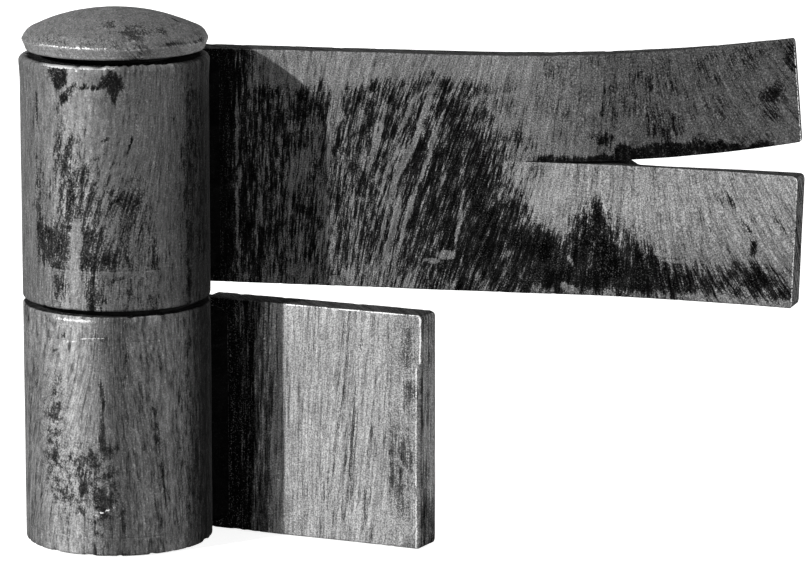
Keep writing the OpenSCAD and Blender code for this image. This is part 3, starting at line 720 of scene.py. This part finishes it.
# by place along the bar and height: the body, then the tines, then the back and the edges
def anchorPaint(xyz, flat, normal):
    leaf, x, h = anchorLeaf, flat[:, 0], flat[:, 2]
    above, below = h > slitZ, h < slitZ
    front, facing, level = normal[:, 1] < -0.5, normal[:, 1] < -0.3, np.abs(normal[:, 2]) > 0.6
    ragged = raggedness(xyz, 2.6, 1.0, 0.4, 43)

    # from the barrel to the slit: black with streaks, under a pale band with tips of black; next to the
    # barrel the cover and the band are held low, painted shade in the corner
    band = ramp(h - np.interp(x, *leaf["bandLine"]) + 2 * ragged[0], -2.4, 2) * ramp(x, 22, 33)
    flame = 0 * x
    for across, tip in leaf["flames"]:
        lean = math.tan(math.radians(np.interp(across, leaf["leanAt"], leaf["leans"])))
        off = (x - across - lean * (h - tip) + 0.5 * ragged[1]) / (0.3 + 0.05 * np.maximum(tip - h, 0))
        flame = np.maximum(flame, bell(off, 0, 1) * ramp(tip - h, -0.4, 1.2) * ramp(h, tip - 14, tip - 5))
    cover = np.interp(x, *leaf["coverAndCornerShade"]) + 0.5 * band * (1 - flame) - 0.14 * flame + 0.16 * ramp(h, 8, 1)
    cover = cover + 0.2 * ramp(h, 33, 46) * ramp(x, 54, 60) + 0.1 * ramp(x, 68, 76) * ramp(h, 14, 24)

    # the tines: silver above the slit, silver over ragged black below it, and painted shade along the slit
    tail = above * ramp(x - np.interp(h, *leaf["silverLine"]) + 8 * ragged[0], -7, 8)
    cover = cover + tail * (0.74 - cover)
    low = below * ramp(x + 8 * ragged[0], 77, 92)
    lowCover = 0.14 + 0.7 * ramp(h - np.interp(x, *leaf["blackLine"]) + 4 * ragged[1], -5, 5)
    lowCover = lowCover + 0.2 * ramp(x, 112, 126) * ramp(h, 14, 9) + 0.35 * ramp(h, 2.5, 0.6)
    cover = cover + low * (lowCover - cover)
    cover = cover + blots(x + 0.8 * ragged[0], h + 0.5 * ragged[1], leaf["patches"])
    # painted shade along the slit, where the upper tine's lower edge shades the gap
    paintedSlitShade = np.interp(x, *leaf["paintedSlitShade"]) + (2 + 2.5 * ramp(x, 96, 108)) * ragged[1]
    paintedSlitShade = ramp(paintedSlitShade - (h - slitZ), -0.8, 0.6) * ramp(x, 86, 90) * (x < 138)
    cover = cover - 0.6 * paintedSlitShade * above
    cover = np.where(front, cover, 0.5 + 0.3 * (lumps(xyz, 14.0, 41) - 0.5))
    cover = np.where(level, 0.85, cover)

    # tone: lower tine painted lighter and upper tine painted darker, painted light and shade for how they
    # face the lamp; top and bottom faces painted dark, painted shade
    tone = 1.04 + 0.16 * band * ramp(x, 90, 80) + 0.7 * low * ramp(h, 6, 20)
    tone = tone - 0.54 * above * ramp(x, 84, 108)
    tone = np.where(front, tone, np.where(level, 0.32, 0.8))
    # bright bare edges along the slit and at the tine ends: worn edges brightened as painted highlights
    slitWear = (0.4 * ramp(x, 104, 114) + 0.1 * ramp(x, 128, 138)) * bell(h, slitZ - 0.6, 0.35) * below
    toEnd = leaf["root"] + np.where(below, leaf["lower"]["length"], leaf["upper"]["length"]) - x
    wear = (slitWear + 0.5 * ramp(toEnd, 0.5, 0.2)) * facing
    return dict(cover=cover, wear=wear, tone=tone, blotch=np.where(front, 0.4 * tail + 0.2 * low, 0))


dress(surface("anchorLeafBar", anchorSheets(anchorLeaf), leafDent(51, 0.1), anchorPaint), anchorLeaf)

# gate leaf: short piece of the same bar, its free corners rounded, brushed pale in upright strokes
gateLeaf = dict(
    node="gate_leaf", body="gate_side", slot="leaf_steel", reach=65.0, cornerR=1.2, skew=5.5, edge=0.4,
    steps=130, rows=84, leanAt=[15, 40, 46, 52, 58, 65], leans=[0, 2, 6, 6, 2, 0],
    # coverAndCornerShade: black by the barrel, rising to full where the barrel's shadow ends near x 32:
    # painted shade
    coverAndCornerShade=([15, 20, 24.4, 29, 32], [-0.4, -0.2, 0.1, 0.46, 0.84]),
    patches=[
        (61.4, 24, 2.8, 25, -0.22, 0), (54, 30, 1.6, 18, -0.12, 2), (26.5, 25, 0.8, 24, 0.2, 2),
        (29, 14, 0.8, 12, 0.15, 4), (62, 43.5, 2.0, 5.4, -0.24, 0), (62.6, 34, 1.4, 3.0, -0.2, 0),
        (61, 21, 2.0, 4.4, -0.14, -20), (60, 12, 1.0, 9, -0.24, 0), (58, 17, 0.5, 12, -0.3, 0),
        (51, 42, 0.6, 5, -0.4, 4), (46, 26, 0.7, 9, -0.3, 6), (49, 24, 0.8, 10, -0.3, 5),
        (44, 8, 5, 7, -0.14, 0), (52, 8, 2, 7, -0.2, -6), (61.5, 27.6, 2.2, 0.9, 0.6, 0),
        (59.6, 19, 0.4, 2.6, 0.7, -24), (61, 15.6, 0.4, 1.6, 0.7, 10), (35.5, 26, 2.4, 24, 0.14, 1),
        (42, 28, 1.2, 22, 0.14, 3)])
gateLeaf["material"] = dryBrushed(dict(
    brushedLook, name="gateLeafPaint", long=(14, 22, 12), mix=(0.9, 0.8, 0.8, 0.4, 0.45), soft=0.2, veil=0.4,
    silver=(0.08, 0.28), speckle=0.46, fleck=0.45))


# a straight bar with round free corners and a skew end, turned about the axis to its rest place
def gateSheets(spec):
    steps, inset = endSteps(leafStart, spec["reach"], spec["steps"])
    corner = cornerIn(spec["reach"] - steps, spec["cornerR"])
    rows = evenRows(spec["rows"])
    flat = bluntStart(barSection(steps, corner, barW - corner, spec["edge"], spec["edge"], inset, rows))
    x, y, z = np.moveaxis(flat, -1, 0)
    x = x + math.tan(math.radians(spec["skew"])) * y * ramp(x, 55, 64)  # the end is cut out of square
    flat = np.stack([x, y, z], -1)
    c, s, y = math.cos(gateTurn), math.sin(gateTurn), y + leafFront
    xyz = np.stack([x * c - y * s, x * s + y * c, z], -1)
    return [(xyz, brushUv(flat, spec["leanAt"], spec["leans"]), flat)]


# cover by place along the bar and patches, even on back and edges; a painted highlight along the top
# where the lamp reaches, wear along the end, and painted light and shade by face
def gatePaint(xyz, flat, normal):
    x, h = flat[:, 0], flat[:, 2]
    front, end, level = normal[:, 1] < -0.6, normal[:, 0] > 0.6, np.abs(normal[:, 2]) > 0.6
    ragged = raggedness(xyz, 2.4, 1.0, 0.4, 63)
    cover = np.interp(x, *gateLeaf["coverAndCornerShade"])
    cover = cover + blots(x + 1.2 * ragged[0], h + 1.6 * ragged[1], gateLeaf["patches"])
    cover = np.where(front, cover, 0.55 + 0.3 * (lumps(xyz, 14.0, 42) - 0.5))
    cover = np.where(end, 0.62 - 0.35 * ramp(h, 14, 8) + 0.5 * (lumps(xyz, 4.0, 44) - 0.5), cover)
    cover = np.where(level, 0.85, cover)
    broken = 0.7 + 0.6 * lumps(xyz, 3.0, 47)
    # a painted highlight on the top front edge, starting near x 30 where the barrel's shadow ends
    topEdgeHighlight = 0.56 * bell(h, barW - 0.2, 0.2) * (normal[:, 1] < -0.3) * ramp(x, 30, 34)
    edgeLine = 63.85 + 0.8 * ramp(h, 39, 40.6) + 0.4 * ragged[0]  # the end's edge, dented below its corner
    wear = broken * (topEdgeHighlight + 0.66 * bell(x, edgeLine, 0.3) * (normal[:, 1] < -0.4))
    frontTone = 1.86 - 0.4 * ramp(x, 56, 61) - 0.7 * ramp(x - edgeLine, 0, 0.4)
    # top and bottom faces painted dark and the end face painted light: painted shade and light by face
    tone = np.where(level, 0.34, np.where(front, frontTone, np.where(end, 1.28, 0.8)))
    return dict(cover=cover, wear=wear, tone=tone, blotch=np.where(front, 0.6 * ramp(x, 55, 60), 0))


dress(surface("gateLeafBar", gateSheets(gateLeaf), leafDent(61, 0.12), gatePaint), gateLeaf)


# A bead laid up the joint: its section is the weld's own outline, bulged between its toes, and crescent
# ripples follow one another along it. It runs out to nothing at both ends.
def beadSheets(spec):
    t = np.linspace(0, 1, 19)
    a, b, inner = (np.array(spec[key]) for key in ("leafToe", "barrelToe", "inner"))
    out = np.array([(a - b)[1], (b - a)[0]]) / np.hypot(*(a - b))
    out = out if out @ (a - inner[0]) > 0 else -out
    z = np.linspace(spec["low"], spec["high"], 230)[:, None]
    crescent = z / spec["pitch"] + 0.42 * (2 * t[None] - 1) ** 2 + 0.12 * np.sin(z * 0.9)
    ripple = np.abs(np.sin(math.pi * crescent)) - 0.5
    bulge = (spec["crown"] + spec["ripple"] * ripple) * (4 * t * (1 - t))[None] ** 0.7
    face = a[None, None] + (b - a)[None, None] * t[None, :, None] + out[None, None] * bulge[..., None]
    loop = np.concatenate([face, np.broadcast_to(inner[None], (len(z), *inner.shape)), face[:, :1]], 1)
    left = np.clip(np.minimum(z - spec["low"], spec["high"] - z) / spec["taper"], 0, 1)
    size = np.sqrt(np.clip(1 - (1 - left) ** 2, 0, 1))[..., None]
    core = np.array(spec["core"])[None, None]
    loop = core + (loop - core) * size
    c, s = math.cos(spec["turn"]), math.sin(spec["turn"])
    height = np.broadcast_to(z + spec["base"], loop.shape[:2])
    xyz = np.stack([loop[..., 0] * c - loop[..., 1] * s, loop[..., 0] * s + loop[..., 1] * c, height], -1)
    middle = loop[len(z) // 2]
    around = np.concatenate([[0], np.cumsum(np.hypot(*np.diff(middle, axis=0).T))])
    return [(xyz, np.stack([height, np.broadcast_to(around, height.shape)], -1), xyz)]


# both sections in plan: the toes on leaf and barrel, the corners inside the joint, where the ends run out
toeTurn = math.atan2(leafFront, leafStart) - 5 / barrelR
frontBead = dict(
    leafToe=(leafStart + 5, leafFront), barrelToe=(barrelR * math.cos(toeTurn), barrelR * math.sin(toeTurn)),
    inner=[(leafStart + 1.2, leafFront - 1.6), (leafStart, leafFront), (leafStart + 2, leafFront)],
    core=(leafStart + 1.4, leafFront - 0.5), crown=0.35, ripple=0.3, pitch=2.3, inset=1.6, taper=3.0)
backBead = dict(
    leafToe=(leafStart, 19.5), barrelToe=(math.sqrt(barrelR ** 2 - 19.5 ** 2), 19.5),
    inner=[(8.6, 18.05), (11.8, 16.15), (leafStart, leafFront), (leafStart, 16.5)],
    core=(11.6, 18.2), crown=0.4, ripple=0.4, pitch=2.6, inset=0.4, taper=0.9)
beadMaterial = dryBrushed(dict(
    brushedLook, name="weldPaint", wide=1.6, fine=0.7, hair=0.3, veil=0.03, dots=0.05, bump=0.7))


# small lumps all over
def beadDent(xyz, flat, normal):
    return (lumps(xyz, 1.4, 71) - 0.5) * 0.12


# black where a bead looks to the front, painted shade in the corner between leaf and barrel, part
# silver where it looks back
def beadPaint(xyz, flat, normal):
    cover = np.where(normal[:, 1] < 0, -0.2, 0.6) + 0.5 * (lumps(xyz, 6.0, 72) - 0.5)
    return dict(cover=cover, wear=0 * cover, tone=0.8 + 0 * cover)


for leaf, body, base, turn in (("anchor", "wall_side", anchorZ, 0.0), ("gate", "gate_side", 0.0, gateTurn)):
    for side, bead in (("front", frontBead), ("back", backBead)):
        spec = dict(bead, node=leaf + "_weld_" + side, body=body, slot="weld_steel", material=beadMaterial,
                    base=base, turn=turn, low=bead["inset"], high=barW - bead["inset"])
        dress(surface(spec["node"] + "_bead", beadSheets(spec), beadDent, beadPaint), spec)


# bearing pieces in the gaps: ground steel with a mottled film; races, cage and washer almost black,
# painted shade in the gaps
def bearingSteel(look):
    material, make = emptyMaterial(look["name"])
    inMm = inMillimetres(make)
    film = stretched(make, inMm, look["film"], look["film"], 4, 7.0, 0.65)
    lathe = stretched(make, inMm, 9.0, 0.12, 2, 8.0)
    value = remap(make, weighted(make, (film, 1.0), (lathe, 0.25)), 0.45, 0.8, *look["grey"])
    rough = remap(make, film, 0.35, 0.65, *look["rough"])
    bump = make("Bump", Strength=0.3, Distance=0.00003, Height=lathe)
    shader = make("BsdfPrincipled", Base_Color=grey(make, value), Roughness=rough, Normal=bump)
    shader.node.inputs["Metallic"].default_value = look["metal"]
    shader.node.inputs["Specular IOR Level"].default_value = look["specular"]
    make("OutputMaterial", Surface=shader)
    return material


# races, cage and washer: almost black and dull, painted shade in the gaps
raceSteelPaintedShade = bearingSteel(dict(
    name="raceSteelPaintedShade", film=3.0, grey=(0.002, 0.02), rough=(0.5, 0.7), metal=0.0, specular=0.05))
ballSteel = bearingSteel(dict(
    name="ballSteel", film=2.0, grey=(0.2, 0.5), rough=(0.12, 0.3), metal=1.0, specular=0.5))
for node, material in (("upper_race", raceSteelPaintedShade), ("lower_race", raceSteelPaintedShade), ("ball_cage", raceSteelPaintedShade),
                       ("head_washer", raceSteelPaintedShade), ("bearing_balls", ballSteel)):
    nodes[node].data.materials.clear()
    nodes[node].data.materials.append(material)
print("bearing pieces painted")


# 1 where something is looked at, straight or in a reflection, and 0 where it only lights other things
def lookedAt(make):
    paths = make("LightPath").node.outputs
    seen = most(make, paths["Is Camera Ray"], paths["Is Glossy Ray"])
    return most(make, seen, paths["Is Transmission Ray"])


# floor: white to the eye and in reflections, darker where the hinge shades it
floor = dict(size=6.0, drop=-0.0002, glow=0.85, ground=0.8, bounce=0.15)
floorMaterial, make = emptyMaterial("floorPaper")
paper = make("AddShader", i0=make("Emission", Color=(1, 1, 1, 1), Strength=floor["glow"]),
             i1=make("BsdfDiffuse", Color=(floor["ground"],) * 3 + (1,)))
plain = make("BsdfDiffuse", Color=(floor["bounce"],) * 3 + (1,))
make("OutputMaterial", Surface=make("MixShader", i0=lookedAt(make), i1=plain, i2=paper))
half, drop = floor["size"] / 2, floor["drop"]
floorMesh = bpy.data.meshes.new("floor")
floorCorners = [(x, y, drop) for x, y in ((-half, -half), (half, -half), (half, half), (-half, half))]
floorMesh.from_pydata(floorCorners, [], [(0, 1, 2, 3)])
floorPiece = bpy.data.objects.new("floor", floorMesh)
bpy.context.scene.collection.objects.link(floorPiece)
floorPiece.data.materials.append(floorMaterial)

# studio: white to the eye, little light of its own
world = bpy.data.worlds.new("studio")
world.use_nodes = True
world.node_tree.nodes.clear()
make = maker(world.node_tree)
strength = mixed(make, lookedAt(make), 0.03, 1.0)
make("OutputWorld", Surface=make("Background", Color=(1, 1, 1, 1), Strength=strength))
bpy.context.scene.world = world

# lamps: what they point at, the way towards the lamp from there, distance and width in m, and how bright
lamps = dict(
    key=dict(aim=(0, 0, 0.08), towards=(-0.641, -0.630, 0.438), away=1.5, wide=0.035, bright=1.3),
    fill=dict(aim=(0.03, 0, 0.055), towards=(0.745, -0.625, 0.25), away=1.4, wide=0.9, bright=0.32),
    backLeft=dict(aim=(0.06, 0.01, 0.055), towards=(-0.5, 0.85, 0.16), away=1.6, wide=0.9, bright=0.5),
    backRight=dict(aim=(0.06, 0.01, 0.055), towards=(0.8, 0.58, 0.15), away=1.6, wide=0.9, bright=0.6))
for name, lamp in lamps.items():
    data = bpy.data.lights.new(name, "AREA")
    data.shape, data.size = "DISK", lamp["wide"]
    # bright 1 shows a square-on colour as written
    data.energy = lamp["bright"] * (math.pi * lamp["away"]) ** 2
    light = bpy.data.objects.new(name, data)
    bpy.context.scene.collection.objects.link(light)
    way = np.array(lamp["towards"]) / np.linalg.norm(lamp["towards"])
    light.location = np.array(lamp["aim"]) + way * lamp["away"]
    light.rotation_euler = (math.acos(way[2]), 0, math.atan2(way[1], way[0]) + math.pi / 2)
    light.visible_camera = False

# camera fitted to edges measured in the photo
camera = bpy.data.objects.new("camera", bpy.data.cameras.new("camera"))
bpy.context.scene.collection.objects.link(camera)
camera.location = (0.25143, -0.97114, 0.25073)
camera.rotation_euler = (math.pi / 2 - 0.19367, 0, 0.19178)
camera.data.lens, camera.data.sensor_width = 212.3, 36
camera.data.shift_x, camera.data.shift_y = -0.0007, 0.0008
bpy.context.scene.camera = camera
bpy.context.scene.view_settings.view_transform = "Standard"
print("stage, lamps and camera set")
